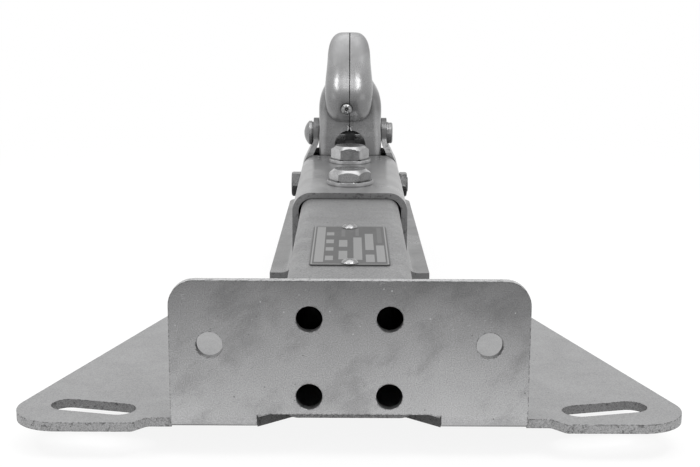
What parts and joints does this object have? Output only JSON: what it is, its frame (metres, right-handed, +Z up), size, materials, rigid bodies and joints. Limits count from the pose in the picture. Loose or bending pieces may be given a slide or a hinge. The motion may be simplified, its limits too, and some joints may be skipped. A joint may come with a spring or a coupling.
{
  "type": "trailer ball coupler",
  "caption": "Pressed steel ball coupler bolted on a square drawbar stub, with a hinged handle and latch, welded on a slotted mounting bracket with two swept wings.",
  "frame": {"origin": "middle of the four-hole pattern on the rear face of the mounting plate", "axes": "+Y forward along the drawbar to the ball, +Z up, +X to the right seen from behind"},
  "size_m": [0.3592, 0.5795, 0.1985],
  "materials": {
    "galvanised_bracket": "hot-dip galvanised, mottled",
    "galvanised_tube": "hot-dip galvanised, drawn along the tube",
    "weld": "rippled bead under zinc",
    "blank_plate": "satin sheet with plain printed boxes",
    "rivet": "satin",
    "zinc_pressing": "zinc-plated pressing",
    "zinc_bolt": "bright zinc plating",
    "dark_steel": "phosphated forging",
    "spring_steel": "plain spring wire"
  },
  "bodies": {
    "drawbar": {"mounting_bracket": "galvanised_bracket", "drawbar_tube": "galvanised_tube", "plate_weld": "weld", "base_weld": "weld", "type_plate": "blank_plate", "type_plate_rivets": "rivet", "coupler_body": "zinc_pressing", "ball_cup": "zinc_pressing", "coupler_bolts": "zinc_bolt", "bolt_washers": "zinc_bolt", "nut_washers": "zinc_bolt", "coupler_nuts": "zinc_bolt", "bolt_spacers": "galvanised_tube", "cross_bolt": "zinc_bolt", "cross_bolt_nut": "zinc_bolt", "spring_plate": "zinc_pressing", "latch_spring": "spring_steel", "pivot_pin": "zinc_bolt", "pivot_washers": "zinc_bolt", "pivot_cap": "zinc_bolt", "latch_pin": "zinc_bolt", "latch_spacers": "zinc_bolt"},
    "lever": {"lever_shell": "zinc_pressing", "lever_screw": "zinc_bolt", "lever_link_pin": "zinc_bolt"},
    "link": {"pull_link": "dark_steel"},
    "latch": {"ball_latch": "dark_steel", "latch_link_pin": "zinc_bolt"}
  },
  "joints": [
    {"name": "lever_pivot", "type": "hinge", "parent": "drawbar", "child": "lever", "pos_m": [0, 0.475, 0.0565], "axis": [1, 0, 0], "range_deg": [0, 28]},
    {"name": "link_swing", "type": "hinge", "parent": "lever", "child": "link", "pos_m": [0, 0.462, 0.0565], "axis": [1, 0, 0], "range_deg": [-30, 0]},
    {"name": "latch_pivot", "type": "hinge", "parent": "drawbar", "child": "latch", "pos_m": [0, 0.484, 0.0045], "axis": [1, 0, 0], "range_deg": [0, 16], "deforming": ["latch_spring"]}
  ],
  "couplings": [
    {"joint": "link_swing", "follows": "lever_pivot", "ratio": -1.0636},
    {"joint": "latch_pivot", "follows": "lever_pivot", "ratio": 0.5695}
  ]
}
